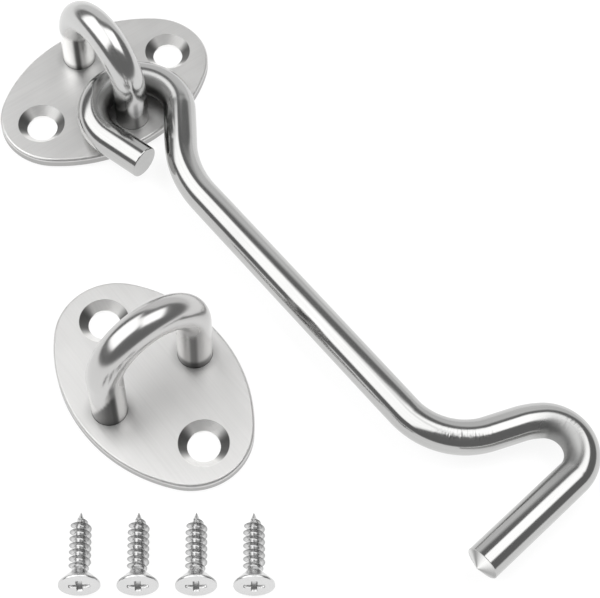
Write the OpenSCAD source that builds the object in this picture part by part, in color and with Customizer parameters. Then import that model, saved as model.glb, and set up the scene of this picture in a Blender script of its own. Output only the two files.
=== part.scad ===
// Hook and eye latch in stainless steel: a pivot plate with a staple that carries a bent rod hook,
// a keeper plate with a staple that receives the hook, and the countersunk wood screws.
// Millimetres. Origin at the centre of the pivot plate's back face: +X along its screw holes,
// +Y from the leg that carries the hook to the free leg, +Z out of the plate.

/* [Rod] */
// Diameter of the round rod that the staples and the hook are bent from
rod_d = 6; // [5:0.1:7]
// Loss of diameter where the rod is bent
bend_thin = 0.08; // [0.06:0.01:0.2]

/* [Plates] */
// Length of each oval plate, along its screw holes
plate_l = 42.8; // [40:0.1:54]
// Width of each oval plate, along its staple
plate_w = 28.7; // [27:0.1:34]
// Thickness of each plate
plate_t = 1.8; // [1.7:0.1:3]
// Radius of the oval's round ends
end_r = 10.4; // [8:0.1:12.5]
// Rounding of the plate's upper edge
edge_r = 0.6; // [0.2:0.1:1.2]

/* [Screw holes] */
// Distance between a plate's two screw holes
hole_pitch = 28.7; // [26:0.1:30]
// Diameter of each screw hole
hole_d = 5.6; // [4.5:0.1:6]
// Diameter of the countersink at the plate's face
csk_d = 8.5; // [7.6:0.1:8.8]
// Included angle of the countersink and of the screw heads
csk_angle = 90; // [88:1:100]

/* [Staples] */
// Distance between the axes of a staple's two legs
leg_pitch = 17.5; // [15:0.1:19]
// Height of the pivot staple's straight legs above the plate's back
pivot_leg_h = 9.5; // [9:0.1:16]
// Height of the keeper staple's straight legs above the plate's back
keeper_leg_h = 12.8; // [8:0.1:18]
// Width and depth of the ground weld round each leg at the plate's back
weld_w = 0.7; // [0.3:0.1:1]
// Gap between a leg or its weld and the plate
leg_fit = 0.04; // [0.02:0.01:0.1]

/* [Hook] */
// Radial play of the eye round the leg
eye_play = 1.9; // [1:0.1:2.5]
// Angle through which the eye is bent
eye_angle = 229.6; // [222:0.1:232]
// Straight length of the eye's cut end
tail_l = 8.4; // [6:0.1:9]
// Angle of the neck between the shank and the eye
neck_angle = 35.6; // [33:0.1:40]
// Bend radius of the neck at the rod's axis
neck_r = 20; // [15:0.5:26]
// Sideways distance from the shank's axis to the eye's centre
shank_offset = 1.77; // [1.2:0.01:2.5]
// Distance along the shank from the eye's centre to the elbow
shank_l = 76.3; // [60:0.1:110]
// Angle of the elbow below the shank
elbow_angle = 70.1; // [66:0.1:76]
// Bend radius of the elbow at the rod's axis
elbow_r = 12.5; // [9:0.1:16]
// Straight length between the elbow and the easy bend
arm_l = 5.4; // [3:0.1:10]
// Angle of the easy bend that leads into the crook
ease_angle = 14.6; // [8:0.1:20]
// Radius of that easy bend
ease_r = 13; // [9:0.1:18]
// Straight length between the easy bend and the crook
ease_l = 0.4; // [0.3:0.1:2]
// Angle of the tight crook
crook_angle = 141.9; // [135:0.1:148]
// Bend radius of the crook at the rod's axis
crook_r = 5.8; // [5.2:0.1:8]
// Straight length of the tip
tip_l = 21.5; // [16:0.1:28]
// Height of the shallow cone on the tip's end
tip_cone_h = 1.2; // [0.5:0.1:3]
// Diameter of the flat left on that cone's point
tip_flat_d = 0.4; // [0.3:0.1:1]
// Gap between the hook and the plate below it, and between the eye and the leg it hangs on
hook_gap = 0.25; // [0.15:0.01:0.4]
// Angle at which the hook lies, from straight across the plate
lie_angle = 1.2; // [-4:0.1:8]

/* [Screws] */
// Length of each screw, head included
screw_l = 13; // [11:0.5:16]
// Diameter of the screw head
head_d = 6.5; // [6.2:0.1:7.4]
// Height of the head's straight rim
head_rim = 0.4; // [0.2:0.1:0.8]
// Outer diameter of the thread
thread_d = 3.5; // [3:0.1:4]
// Diameter of the plain neck between head and thread
neck_d = 2.6; // [2:0.1:2.9]
// Length of that plain neck below the head's cone
plain_l = 0.9; // [0.5:0.1:2]
// Length of the tapered point
point_l = 3; // [2:0.1:4]
// Diameter of the blunt end of the point
point_d = 0.4; // [0.2:0.1:0.8]

/* [Layout] */
// Gap between the keeper plate's side and the line of the hook's leg
keeper_side_gap = 14.5; // [10:0.1:40]
// Gap between the two plates along the hook
keeper_row_gap = 20; // [10:0.1:50]
// Sideways distance from the keeper plate to the first screw's head
screw_side_gap = 15.6; // [12:0.1:40]
// Distance along the hook from the keeper plate's end to the first screw's head
screw_row_gap = 1.2; // [0:0.1:20]
// Distance between neighbouring screws
screw_pitch = 9; // [8:0.1:20]
// Direction of the row of screws
row_angle = -37.7; // [-50:0.1:-30]
// Direction in which the first screw points
screw_angle = 55.3; // [50:0.1:62]
// Change of that direction from one screw to the next
fan_angle = -0.9; // [-3:0.1:0]

/* [Hidden] */
screw_count = 4;
SCREWS = [for (i = [1:screw_count]) str("screw_", i)];
$fn = 96;

// Overshoot of a cutting body past the face that it opens
cut = 1;
// Growth of the edge rounding past its tangents, so that it meets both faces at a clean corner;
// the ends are cut a little deeper than the sides and run past them by an angle
side_over = 0.04;
end_over = 0.02;
end_lap_angle = 1;
// Length by which a straight run reaches into the bend next to it
bend_lap = 0.1;
bend_d = rod_d - bend_thin;

// Four-arc oval: the side arcs meet the end arcs with a common tangent
end_x = plate_l / 2 - end_r;
side_r = (pow(end_x, 2) + pow(plate_w / 2, 2) - pow(end_r, 2)) / (plate_w - 2 * end_r);
side_y = side_r - plate_w / 2;
end_half_angle = atan2(side_y, end_x);
tangent_x = end_x + end_r * cos(end_half_angle);

csk_depth = (csk_d - hole_d) / 2 / tan(csk_angle / 2);

// The eye hangs on the leg at -Y, which touches it on the side away from the shank
leg_y = -leg_pitch / 2;
eye_r = rod_d + eye_play;
eye_shift = eye_play - hook_gap;
hook_z = plate_t + hook_gap + rod_d / 2;
neck_run = (eye_r * cos(neck_angle) + shank_offset) / sin(neck_angle);
neck_tangent = neck_r * tan(neck_angle / 2);
shank_top = -eye_r * sin(neck_angle) - neck_run * cos(neck_angle) - neck_tangent;

// A step of the rod is [straight length, turn, bend radius], and a positive turn goes left
EYE_STEPS = [
    [0, -neck_angle, neck_r],
    [neck_run - neck_tangent, eye_angle, eye_r]
];
CROOK_STEPS = [
    [shank_l + shank_top, elbow_angle, elbow_r],
    [arm_l, -ease_angle, ease_r],
    [ease_l, -crook_angle, crook_r]
];

keeper_x = -keeper_side_gap - plate_w / 2;
keeper_y = -plate_w / 2 - keeper_row_gap - plate_l / 2;
keeper_angle = 90;

// A screw lies on its head's rim and on the last full turn of its thread
head_cone_h = (head_d - neck_d) / 2 / tan(csk_angle / 2);
thread_start = head_rim + head_cone_h + plain_l;
thread_end = screw_l - point_l;
lean_angle = atan2((head_d - thread_d) / 2, thread_end - head_rim);
screw_z = head_d / 2 * cos(lean_angle) + head_rim * sin(lean_angle);
row_x = keeper_x - plate_w / 2 - screw_side_gap;
row_y = keeper_y - plate_l / 2 - screw_row_gap;

// Outline of a plate: two end circles joined by the middle of a lens
module oval() {
    for (side = [-1, 1])
        translate([side * end_x, 0])
            circle(r = end_r);
    intersection() {
        translate([0, side_y])
            circle(r = side_r);
        translate([0, -side_y])
            circle(r = side_r);
        square([2 * tangent_x, plate_w + cut], center = true);
    }
}

// What the rounding takes off an upper edge at radius r
module edge_waste(r, over) {
    difference() {
        translate([r - edge_r, plate_t - edge_r])
            square(edge_r + cut);
        translate([r - edge_r, plate_t - edge_r])
            circle(r = edge_r + over);
    }
}

// Rounding of one arc of the outline, symmetric about +X
module edge_cut(r, half_angle, over) {
    rotate([0, 0, -half_angle])
        rotate_extrude(angle = 2 * half_angle)
            edge_waste(r, over);
}

module oval_blank() {
    difference() {
        linear_extrude(plate_t)
            oval();
        for (side = [0, 180]) {
            rotate([0, 0, side])
                translate([end_x, 0, 0])
                    edge_cut(end_r, end_half_angle + end_lap_angle, end_over);
            rotate([0, 0, side + 90])
                translate([-side_y, 0, 0])
                    edge_cut(side_r, 90 - end_half_angle, side_over);
        }
    }
}

module screw_hole() {
    translate([0, 0, -cut])
        cylinder(d = hole_d, h = plate_t + 2 * cut);
    translate([0, 0, plate_t - csk_depth])
        cylinder(d1 = hole_d, d2 = csk_d, h = csk_depth);
    translate([0, 0, plate_t])
        cylinder(d = csk_d, h = cut);
}

// Leg with its weld at the back, grown by gap: the staple uses it as it is, the plate is cut by it
module leg_end(h, gap) {
    cylinder(d = rod_d + 2 * gap, h = h);
    cylinder(d1 = rod_d + 2 * weld_w + 2 * gap, d2 = rod_d + 2 * gap, h = weld_w);
}

module staple_plate() {
    difference() {
        oval_blank();
        for (side = [-1, 1]) {
            translate([side * hole_pitch / 2, 0, 0])
                screw_hole();
            translate([0, side * leg_pitch / 2, 0])
                leg_end(plate_t + cut, leg_fit);
        }
    }
}

module staple(leg_h) {
    for (side = [-1, 1])
        translate([0, side * leg_pitch / 2, 0])
            leg_end(leg_h + bend_lap, 0);
    translate([0, 0, leg_h])
        rotate([90, 0, 90])
            rotate_extrude(angle = 180)
                translate([leg_pitch / 2, 0])
                    circle(d = bend_d);
}

// Straight rod along +Y that reaches into the bends before and after it
module rod_straight(length) {
    translate([0, -bend_lap, 0])
        rotate([-90, 0, 0])
            cylinder(d = rod_d, h = length + 2 * bend_lap);
}

// Bend of the rod that starts at the origin along +Y, in the XY plane
module rod_bend(turn, r) {
    translate([-sign(turn) * r, 0, 0])
        mirror([turn > 0 ? 0 : 1, 0, 0])
            rotate_extrude(angle = abs(turn))
                translate([r, 0])
                    circle(d = bend_d);
}

// Moves children to the end of a bend that starts at the origin along +Y
module after_bend(turn, r) {
    translate([-sign(turn) * r, 0, 0])
        rotate([0, 0, turn])
            translate([sign(turn) * r, 0, 0])
                children();
}

// Rod that follows its steps from the origin along +Y, with children on its far end
module rod_run(steps, i = 0) {
    if (i == len(steps)) {
        children();
    } else {
        length = steps[i][0];
        turn = steps[i][1];
        r = steps[i][2];
        if (length > 0)
            rod_straight(length);
        translate([0, length, 0]) {
            rod_bend(turn, r);
            after_bend(turn, r)
                rod_run(steps, i + 1)
                    children();
        }
    }
}

// Cut end of the eye along +Y
module eye_tail() {
    translate([0, -bend_lap, 0])
        rotate([-90, 0, 0])
            cylinder(d = rod_d, h = tail_l + bend_lap);
}

// Tip of the hook along +Y, ground to a shallow cone
module hook_tip() {
    rotate([-90, 0, 0])
        rotate_extrude()
            polygon([
                [0, -bend_lap],
                [rod_d / 2, -bend_lap],
                [rod_d / 2, tip_l],
                [tip_flat_d / 2, tip_l + tip_cone_h],
                [0, tip_l + tip_cone_h]
            ]);
}

// The whole bent rod, drawn about the eye's centre with its shank along -Y
module hook_rod() {
    translate([-shank_offset, shank_top, 0]) {
        rod_run(EYE_STEPS)
            eye_tail();
        rotate([0, 0, 180])
            rod_run(CROOK_STEPS)
                hook_tip();
    }
}

// Screw about +Z with its head's face at the origin
module screw_body() {
    rotate_extrude()
        polygon([
            [0, 0],
            [head_d / 2, 0],
            [head_d / 2, head_rim],
            [neck_d / 2, head_rim + head_cone_h],
            [neck_d / 2, thread_start],
            [thread_d / 2, thread_start + (thread_d - neck_d) / 2],
            [thread_d / 2, thread_end],
            [point_d / 2, screw_l],
            [0, screw_l]
        ]);
}

module at_keeper() {
    translate([keeper_x, keeper_y, 0])
        rotate([0, 0, keeper_angle])
            children();
}

module at_hook() {
    translate([0, leg_y, hook_z])
        rotate([0, 0, lie_angle])
            translate([0, -eye_shift, 0])
                children();
}

module at_screw(i) {
    translate([row_x + i * screw_pitch * cos(row_angle), row_y + i * screw_pitch * sin(row_angle), screw_z])
        rotate([0, 90 + lean_angle, screw_angle + i * fan_angle])
            children();
}

module pivot_plate() {
    color("Gainsboro")
        staple_plate();
}

module pivot_staple() {
    color("Silver")
        staple(pivot_leg_h);
}

module hook() {
    color("DarkGray")
        at_hook()
            hook_rod();
}

module keeper_plate() {
    color("Gainsboro")
        at_keeper()
            staple_plate();
}

module keeper_staple() {
    color("Silver")
        at_keeper()
            staple(keeper_leg_h);
}

module screw(i) {
    color("LightGray")
        at_screw(i)
            screw_body();
}

pivot_plate();
pivot_staple();
hook();
keeper_plate();
keeper_staple();
for (i = [0:screw_count - 1]) screw(i);
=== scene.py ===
"""Looks of a stainless cabin hook: two oval plates, their staples, a bent rod hook and screws."""

import logging
import math
from dataclasses import dataclass
from enum import Enum

import bpy
import numpy as np
from mathutils import Matrix, Vector


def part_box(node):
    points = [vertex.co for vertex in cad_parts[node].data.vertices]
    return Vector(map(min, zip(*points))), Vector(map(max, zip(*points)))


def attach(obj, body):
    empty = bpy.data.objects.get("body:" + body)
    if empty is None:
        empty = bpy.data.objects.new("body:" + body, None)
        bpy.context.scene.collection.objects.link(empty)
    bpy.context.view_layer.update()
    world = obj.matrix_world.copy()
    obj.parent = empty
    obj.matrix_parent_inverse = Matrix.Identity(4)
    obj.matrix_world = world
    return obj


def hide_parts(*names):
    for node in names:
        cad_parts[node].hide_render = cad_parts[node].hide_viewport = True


LOG = logging.getLogger("cabin_hook")
MM = 0.001
MICRON = 0.000001
# Degrees of a bend between two stations of a rod's path
BEND_STEP = 1.5
# Stations that lie closer than this, in mm, are one station
SAME_PLACE = 1e-6

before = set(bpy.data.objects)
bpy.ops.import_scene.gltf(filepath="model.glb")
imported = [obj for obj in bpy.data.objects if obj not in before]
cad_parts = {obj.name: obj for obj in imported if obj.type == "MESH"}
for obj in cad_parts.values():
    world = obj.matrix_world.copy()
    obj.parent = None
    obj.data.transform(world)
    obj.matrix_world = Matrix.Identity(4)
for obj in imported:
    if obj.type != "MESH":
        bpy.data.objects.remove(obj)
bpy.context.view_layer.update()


class Socket(Enum):
    """Kinds of socket that the shared effects take and give."""

    VECTOR = "NodeSocketVector"
    COLOUR = "NodeSocketColor"
    VALUE = "NodeSocketFloat"


class NodeBench:
    """Places nodes in one tree and joins them."""

    def __init__(self, tree: bpy.types.NodeTree) -> None:
        """Takes the tree to work on."""
        self.tree = tree

    def put(self, value: object, socket: bpy.types.NodeSocket) -> None:
        """Joins an output to a socket, or sets a plain value on it.

        Args:
            value: An output of another node, or a plain value.
            socket: The input that takes it.
        """
        if isinstance(value, bpy.types.NodeSocket):
            self.tree.links.new(value, socket)
        else:
            socket.default_value = value

    def add(self, kind: str, values: dict | None = None, **settings: object) -> bpy.types.Node:
        """Adds a node.

        Args:
            kind: The node's type.
            values: Outputs to join or values to set, by the name or number of the socket.
            **settings: The node's own settings.

        Returns:
            The new node.
        """
        node = self.tree.nodes.new(kind)
        for name, setting in settings.items():
            setattr(node, name, setting)
        for key, value in (values or {}).items():
            self.put(value, node.inputs[key])
        return node

    def math(self, operation: str, *values: object) -> bpy.types.NodeSocket:
        """Adds a sum or another step on plain values."""
        return self.add("ShaderNodeMath", dict(enumerate(values)), operation=operation).outputs[0]

    def vector(self, operation: str, *values: object) -> bpy.types.NodeSocket:
        """Adds a step on vectors, whose result is a plain value for a length or a dot product."""
        node = self.add("ShaderNodeVectorMath", dict(enumerate(values)), operation=operation)
        return node.outputs["Value" if operation in ("LENGTH", "DOT_PRODUCT") else "Vector"]

    def scaled(self, vector: object, share: object) -> bpy.types.NodeSocket:
        """Multiplies a vector or a colour by a plain value."""
        values = {0: vector, "Scale": share}
        return self.add("ShaderNodeVectorMath", values, operation="SCALE").outputs[0]

    def ramp(
        self, value: object, low: object, high: object, start: float, end: float
    ) -> bpy.types.NodeSocket:
        """Adds a smooth step from start at low to end at high."""
        values = {"Value": value, "From Min": low, "From Max": high, "To Min": start, "To Max": end}
        return self.add("ShaderNodeMapRange", values, interpolation_type="SMOOTHSTEP").outputs[0]

    def noise(self, vector: object, scale: float, detail: float) -> bpy.types.NodeSocket:
        """Adds a noise about 0, from -0.5 to 0.5."""
        node = self.add("ShaderNodeTexNoise", {"Vector": vector, "Scale": scale, "Detail": detail})
        return self.math("SUBTRACT", node.outputs["Fac"], 0.5)


def empty_bench(owner: bpy.types.Material | bpy.types.World) -> NodeBench:
    """Clears the nodes of a material or of the world.

    Args:
        owner: The material or the world.

    Returns:
        A bench on its empty tree.
    """
    owner.use_nodes = True
    owner.node_tree.nodes.clear()
    return NodeBench(owner.node_tree)


class SharedEffect:
    """An effect that several finishes use, as a node group that is made once."""

    name = "effect"
    takes: dict[str, Socket] = {}
    gives: dict[str, Socket] = {}

    def lay_out(self, bench: NodeBench, given: object, made: object) -> None:
        """Lays out the effect's nodes between its inputs and its outputs."""
        raise NotImplementedError

    def tree(self) -> bpy.types.NodeTree:
        """Finds the effect's node group, or makes it.

        Returns:
            The node group with its named inputs and outputs.
        """
        if self.name in bpy.data.node_groups:
            return bpy.data.node_groups[self.name]
        group = bpy.data.node_groups.new(self.name, "ShaderNodeTree")
        for side, sockets in (("INPUT", self.takes), ("OUTPUT", self.gives)):
            for label, kind in sockets.items():
                group.interface.new_socket(label, in_out=side, socket_type=kind.value)
        bench = NodeBench(group)
        given = bench.add("NodeGroupInput").outputs
        self.lay_out(bench, given, bench.add("NodeGroupOutput").inputs)
        return group

    def place(self, bench: NodeBench, values: dict) -> object:
        """Places the effect in a material with its own values, and returns its outputs."""
        return bench.add("ShaderNodeGroup", values, node_tree=self.tree()).outputs


class WorkedSteel(SharedEffect):
    """Fine lines along the grain and broad soft patches, in colour, gloss and height."""

    name = "worked_steel"
    takes = {
        "Vector": Socket.VECTOR,
        "Stretch": Socket.VECTOR,
        "Colour": Socket.COLOUR,
        "Colour change": Socket.VALUE,
        "Roughness": Socket.VALUE,
        "Gloss change": Socket.VALUE,
        "Depth": Socket.VALUE,
    }
    gives = {"Colour": Socket.COLOUR, "Roughness": Socket.VALUE, "Height": Socket.VALUE}
    fine_detail = 3.0
    broad_scale = 90.0
    broad_detail = 2.0

    def lay_out(self, bench: NodeBench, given: object, made: object) -> None:
        """Adds a noise stretched along the grain to a broad one, which both change the surface.

        Args:
            bench: The group's nodes.
            given: The group's inputs, by name.
            made: The group's outputs, by name.
        """
        grain = bench.vector("MULTIPLY", given["Vector"], given["Stretch"])
        fine = bench.noise(grain, 1.0, self.fine_detail)
        broad = bench.noise(given["Vector"], self.broad_scale, self.broad_detail)
        both = bench.math("ADD", fine, broad)
        shade = bench.math("MULTIPLY_ADD", both, given["Colour change"], 1.0)
        gloss = bench.math("MULTIPLY_ADD", both, given["Gloss change"], given["Roughness"])
        bench.put(bench.scaled(given["Colour"], shade), made["Colour"])
        bench.put(gloss, made["Roughness"])
        bench.put(bench.math("MULTIPLY", fine, given["Depth"]), made["Height"])


class NearPoint(SharedEffect):
    """A round spot about a point, seen along Z: 1 in the near distance and 0 past the far one."""

    name = "near_point"
    takes = {
        "Vector": Socket.VECTOR,
        "Point": Socket.VECTOR,
        "Near": Socket.VALUE,
        "Far": Socket.VALUE,
    }
    gives = {"Mask": Socket.VALUE, "Distance": Socket.VALUE}
    plan = (1.0, 1.0, 0.0)

    def lay_out(self, bench: NodeBench, given: object, made: object) -> None:
        """Measures the distance in plan and fades the spot between its two distances.

        Args:
            bench: The group's nodes.
            given: The group's inputs, by name.
            made: The group's outputs, by name.
        """
        away = bench.vector("SUBTRACT", given["Vector"], given["Point"])
        distance = bench.vector("LENGTH", bench.vector("MULTIPLY", away, self.plan))
        bench.put(bench.ramp(distance, given["Near"], given["Far"], 1.0, 0.0), made["Mask"])
        bench.put(distance, made["Distance"])


class BendWear(SharedEffect):
    """What bending leaves on a rod: less polish on the inside, and rubbed patches from the die.

    Mark stretch gives the marks per metre along and round the rod, and mark depth is in microns.
    """

    name = "bend_wear"
    takes = {"Vector": Socket.VECTOR, "Dull": Socket.VALUE, "Scuff": Socket.VALUE}
    gives = {"Roughness": Socket.VALUE, "Height": Socket.VALUE, "Tone": Socket.VALUE}
    mark_stretch = (2300.0, 450.0, 1.0)
    mark_detail = 2.0
    mark_depth = 130.0
    mark_full = 0.14
    mark_tone = 0.5
    scuff_loss = 0.10
    dull_loss = 0.36

    def lay_out(self, bench: NodeBench, given: object, made: object) -> None:
        """Adds roughness where the rod is dull or rubbed, and short dark marks where it is rubbed.

        Args:
            bench: The group's nodes.
            given: The group's inputs, by name.
            made: The group's outputs, by name.
        """
        across = bench.vector("MULTIPLY", given["Vector"], self.mark_stretch)
        marks = bench.noise(across, 1.0, self.mark_detail)
        rubbed = bench.math("MULTIPLY", marks, given["Scuff"])
        dulled = bench.math("MULTIPLY", given["Dull"], self.dull_loss)
        loss = bench.math("MULTIPLY_ADD", given["Scuff"], self.scuff_loss, dulled)
        bench.put(bench.math("MAXIMUM", loss, 0.0), made["Roughness"])
        bench.put(bench.math("MULTIPLY", rubbed, self.mark_depth), made["Height"])
        bench.put(bench.ramp(rubbed, 0.0, self.mark_full, 1.0, self.mark_tone), made["Tone"])


WORKED_STEEL = WorkedSteel()
NEAR_POINT = NearPoint()
BEND_WEAR = BendWear()


@dataclass(frozen=True)
class SteelFinish:
    """A bare steel surface: its colour, its gloss and the lines that working it has left.

    Colours are linear. Stretch gives the lines per metre along and across the grain, and depth
    is in microns.
    """

    name: str
    colour: tuple[float, float, float]
    roughness: float
    stretch: tuple[float, float, float]
    depth: float
    colour_change: float
    gloss_change: float

    def worked(self, bench: NodeBench, vector: bpy.types.NodeSocket) -> object:
        """Places the lines of this finish.

        Args:
            bench: The material's nodes.
            vector: Coordinates that the lines follow.

        Returns:
            Colour, roughness and height over the surface, by name.
        """
        values = {
            "Vector": vector,
            "Stretch": self.stretch,
            "Colour": (*self.colour, 1.0),
            "Colour change": self.colour_change,
            "Roughness": self.roughness,
            "Gloss change": self.gloss_change,
            "Depth": self.depth,
        }
        return WORKED_STEEL.place(bench, values)

    def bench(self) -> tuple[bpy.types.Material, NodeBench]:
        """Starts an empty node material with this finish's name."""
        mat = bpy.data.materials.new(self.name)
        return mat, empty_bench(mat)

    def close(self, bench: NodeBench, colour: object, roughness: object, height: object) -> None:
        """Ends the material in bare metal.

        Args:
            bench: The material's nodes.
            colour: Colour over the surface.
            roughness: Roughness over the surface.
            height: Height over the surface, in microns.
        """
        bump = bench.add("ShaderNodeBump", {"Strength": 1.0, "Distance": MICRON, "Height": height})
        values = {
            "Base Color": colour,
            "Roughness": roughness,
            "Metallic": 1.0,
            "Normal": bump.outputs["Normal"],
        }
        steel = bench.add("ShaderNodeBsdfPrincipled", values)
        bench.add("ShaderNodeOutputMaterial", {"Surface": steel.outputs["BSDF"]})


@dataclass(frozen=True)
class RodFinish(SteelFinish):
    """Polished rod, with the marks of its making, and painted reflections and painted shade, kept as
    values on the piece's points.
    """

    def material(self) -> bpy.types.Material:
        """Builds the finish on the rod's own map and on its dull, scuff and tone values.

        Returns:
            The material.
        """
        mat, bench = self.bench()
        coords = bench.add("ShaderNodeTexCoord").outputs
        lines = self.worked(bench, coords["UV"])
        dull, scuff, tone = (
            bench.add("ShaderNodeAttribute", attribute_name=label).outputs["Fac"]
            for label in ("dull", "scuff", "tone")
        )
        wear = BEND_WEAR.place(bench, {"Vector": coords["UV"], "Dull": dull, "Scuff": scuff})
        roughness = bench.math("ADD", lines["Roughness"], wear["Roughness"])
        height = bench.math("ADD", lines["Height"], wear["Height"])
        # the tone value holds painted reflections and painted shade
        shade = bench.math("MULTIPLY", tone, wear["Tone"])
        self.close(bench, bench.scaled(lines["Colour"], shade), roughness, height)
        return mat


@dataclass(frozen=True)
class PlateFinish(SteelFinish):
    """Satin sheet with brush lines along its length, turned rings in its countersinks, and painted
    shade round the staples' feet, on the lower part of its sides and on its underside. In mm.

    Ring depth is in microns. Each countersink has a painted reflection: it goes from light to dark as
    the cosine of the angle to the line of its dark sectors goes from sector_from to sector_to.
    """

    hole_pitch: float = 28.7
    sink_r: float = 4.25
    sink_edge_in: float = 0.06
    sink_edge_out: float = 0.1
    sink_sheen_light: float = 1.3
    sink_sheen_dark: float = 0.2
    sink_roughness: float = 0.46
    sector_from: float = 0.62
    sector_to: float = 0.97
    ring_pitch: float = 0.22
    ring_depth: float = 4.0
    leg_pitch: float = 17.5
    foot_r: float = 3.0
    foot_reach: float = 1.7
    foot_shade: float = 0.82
    side_low: float = 0.15
    side_high: float = 0.5
    side_shade: float = 0.6

    def countersink(
        self, bench: NodeBench, local: bpy.types.NodeSocket, end: object, sheen_turn: float
    ) -> tuple[object, bpy.types.NodeSocket]:
        """Marks the countersink of a plate's half and paints a reflection into it, light with two
        dark sectors.

        Args:
            bench: The material's nodes.
            local: Place on the plate.
            end: Sign of the plate's half, along its length.
            sheen_turn: Angle of the painted dark sectors from the plate's long axis, in radians.

        Returns:
            The mask of the countersink and the distance from its axis, by name, and its painted
            reflection as a tone.
        """
        hole = bench.scaled((self.hole_pitch / 2 * MM, 0.0, 0.0), end)
        rim = {
            "Near": (self.sink_r - self.sink_edge_in) * MM,
            "Far": (self.sink_r + self.sink_edge_out) * MM,
        }
        sink = NEAR_POINT.place(bench, {"Vector": local, "Point": hole, **rim})
        # painted reflection: dark sectors along this line across the countersink, light between them
        sheen_axis = (math.cos(sheen_turn), math.sin(sheen_turn), 0.0)
        across = bench.vector("DOT_PRODUCT", bench.vector("SUBTRACT", local, hole), sheen_axis)
        facing = bench.math("ABSOLUTE", bench.math("DIVIDE", across, sink["Distance"]))
        limits = (self.sector_from, self.sector_to)
        return sink, bench.ramp(facing, *limits, self.sink_sheen_light, self.sink_sheen_dark)

    def material(
        self, centre: tuple[float, float, float], turn: float, sheen_turn: float
    ) -> bpy.types.Material:
        """Builds the finish about a plate's centre.

        Args:
            centre: The plate's centre in metres.
            turn: Angle of the plate's long axis from X, in radians.
            sheen_turn: Angle of the countersinks' painted dark sectors from that axis, in radians.

        Returns:
            The material, whose feet lie on the plate's own folded quarter.
        """
        mat, bench = self.bench()
        coords = bench.add("ShaderNodeTexCoord").outputs["Object"]
        values = {"Vector": coords, "Location": centre, "Rotation": (0.0, 0.0, turn)}
        local = bench.add("ShaderNodeMapping", values, vector_type="TEXTURE").outputs[0]
        lines = self.worked(bench, local)
        place = bench.add("ShaderNodeSeparateXYZ", {0: local}).outputs
        end = bench.math("SIGN", place["X"])
        sink, sink_sheen = self.countersink(bench, local, end, sheen_turn)
        # painted shade round each staple foot, darkest next to the leg
        leg = (0.0, self.leg_pitch / 2 * MM, 0.0)
        reach = {"Near": self.foot_r * MM, "Far": (self.foot_r + self.foot_reach) * MM}
        folded = bench.vector("ABSOLUTE", local)
        foot = NEAR_POINT.place(bench, {"Vector": folded, "Point": leg, **reach})
        # painted shade: darker on the lower part of the sides and on the underside
        limits = (self.side_low * MM, self.side_high * MM)
        side = bench.ramp(place["Z"], *limits, self.side_shade, 1.0)
        inside = bench.math("SUBTRACT", sink_sheen, side)
        shade = bench.math(
            "MULTIPLY",
            bench.math("MULTIPLY_ADD", sink["Mask"], inside, side),
            bench.math("MULTIPLY_ADD", foot["Mask"], self.foot_shade - 1.0, 1.0),
        )
        wave = bench.math("MULTIPLY", sink["Distance"], 2 * math.pi / (self.ring_pitch * MM))
        rings = bench.math("MULTIPLY", bench.math("SINE", wave), sink["Mask"])
        turned = bench.math("MULTIPLY", rings, self.ring_depth)
        brushed = bench.math("SUBTRACT", 1.0, sink["Mask"])
        height = bench.math("MULTIPLY_ADD", lines["Height"], brushed, turned)
        change = bench.math("SUBTRACT", self.sink_roughness, lines["Roughness"])
        roughness = bench.math("MULTIPLY_ADD", change, sink["Mask"], lines["Roughness"])
        self.close(bench, bench.scaled(lines["Colour"], shade), roughness, height)
        return mat


@dataclass(frozen=True)
class ScrewFinish(SteelFinish):
    """Bright steel of a small screw, with painted shade where its tone value says."""

    def material(self) -> bpy.types.Material:
        """Builds the finish on object coordinates and on the screw's tone value.

        Returns:
            The material.
        """
        mat, bench = self.bench()
        lines = self.worked(bench, bench.add("ShaderNodeTexCoord").outputs["Object"])
        tone = bench.add("ShaderNodeAttribute", attribute_name="tone").outputs["Fac"]
        self.close(bench, bench.scaled(lines["Colour"], tone), lines["Roughness"], lines["Height"])
        return mat


ROD_GRAIN = (70.0, 3200.0, 1.0)
HOOK_ROD = RodFinish(
    name="hook_polish",
    colour=(0.51, 0.51, 0.505),
    roughness=0.13,
    stretch=ROD_GRAIN,
    depth=2.4,
    colour_change=0.18,
    gloss_change=0.06,
)
PIVOT_ROD = RodFinish(
    name="pivot_staple_polish",
    colour=(0.58, 0.58, 0.575),
    roughness=0.18,
    stretch=ROD_GRAIN,
    depth=1.2,
    colour_change=0.07,
    gloss_change=0.04,
)
KEEPER_ROD = RodFinish(
    name="keeper_staple_polish",
    colour=(0.57, 0.565, 0.56),
    roughness=0.20,
    stretch=ROD_GRAIN,
    depth=1.2,
    colour_change=0.07,
    gloss_change=0.04,
)
SATIN_PLATE = PlateFinish(
    name="satin_plate",
    colour=(0.72, 0.716, 0.708),
    roughness=0.42,
    stretch=(45.0, 2600.0, 60.0),
    depth=7.0,
    colour_change=0.12,
    gloss_change=0.10,
)
BRIGHT_SCREW = ScrewFinish(
    name="bright_screw",
    colour=(0.68, 0.68, 0.68),
    roughness=0.24,
    stretch=(900.0, 900.0, 900.0),
    depth=1.5,
    colour_change=0.08,
    gloss_change=0.08,
)


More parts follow.
